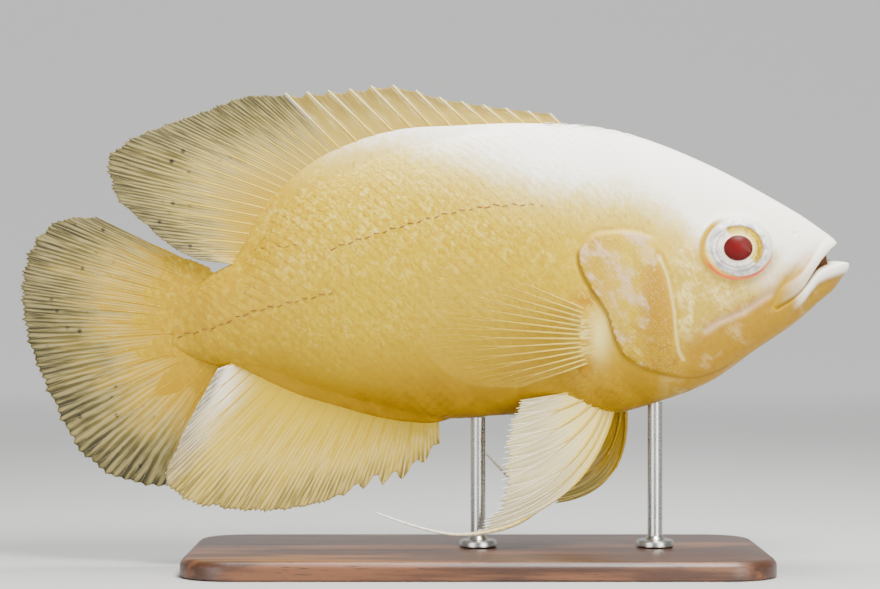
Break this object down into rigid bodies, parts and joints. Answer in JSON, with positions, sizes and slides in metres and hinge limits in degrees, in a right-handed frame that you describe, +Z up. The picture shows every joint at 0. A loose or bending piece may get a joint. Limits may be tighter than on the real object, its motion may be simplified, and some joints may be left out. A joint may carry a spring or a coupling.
{
  "type": "oscar fish display model",
  "caption": "Life-size still model of a lemon coloured oscar fish, swimming, held over a flat walnut base by short steel rods.",
  "frame": {"origin": "middle of the whole model's outline, on the underside of the base", "axes": "X along the fish, snout at +X; Y across it, the fish's left side at +Y; Z up"},
  "size_m": [0.2674, 0.088, 0.154],
  "materials": {
    "head_skin": "cast and painted skin, soft sheen",
    "jaw_skin": "cast and painted skin, soft sheen",
    "gill_skin": "cast and painted skin, soft sheen",
    "body_skin": "cast and painted scales, soft sheen",
    "eye": "painted under a clear cap",
    "fin_cream": "thin cast web, painted",
    "fin_gold": "thin cast web, painted",
    "fin_pale": "thin cast web, painted",
    "fin_white": "thin cast web, painted",
    "stand_wood": "oiled walnut",
    "stand_metal": "satin round bar"
  },
  "bodies": {
    "root": {"head": "head_skin", "lower_jaw": "jaw_skin", "gill_cover_right": "gill_skin", "gill_cover_left": "gill_skin", "trunk": "body_skin", "tail_stalk": "body_skin", "eye_right": "eye", "eye_left": "eye", "dorsal_fin_spiny": "fin_cream", "dorsal_fin_soft": "fin_cream", "anal_fin": "fin_gold", "caudal_fin": "fin_gold", "pectoral_fin_right": "fin_pale", "pectoral_fin_left": "fin_pale", "pelvic_fin_right": "fin_white", "pelvic_fin_left": "fin_white", "pelvic_filament_right": "fin_white", "pelvic_filament_left": "fin_white", "stand_base": "stand_wood", "stand_rod_front": "stand_metal", "stand_rod_rear": "stand_metal"}
  },
  "joints": []
}
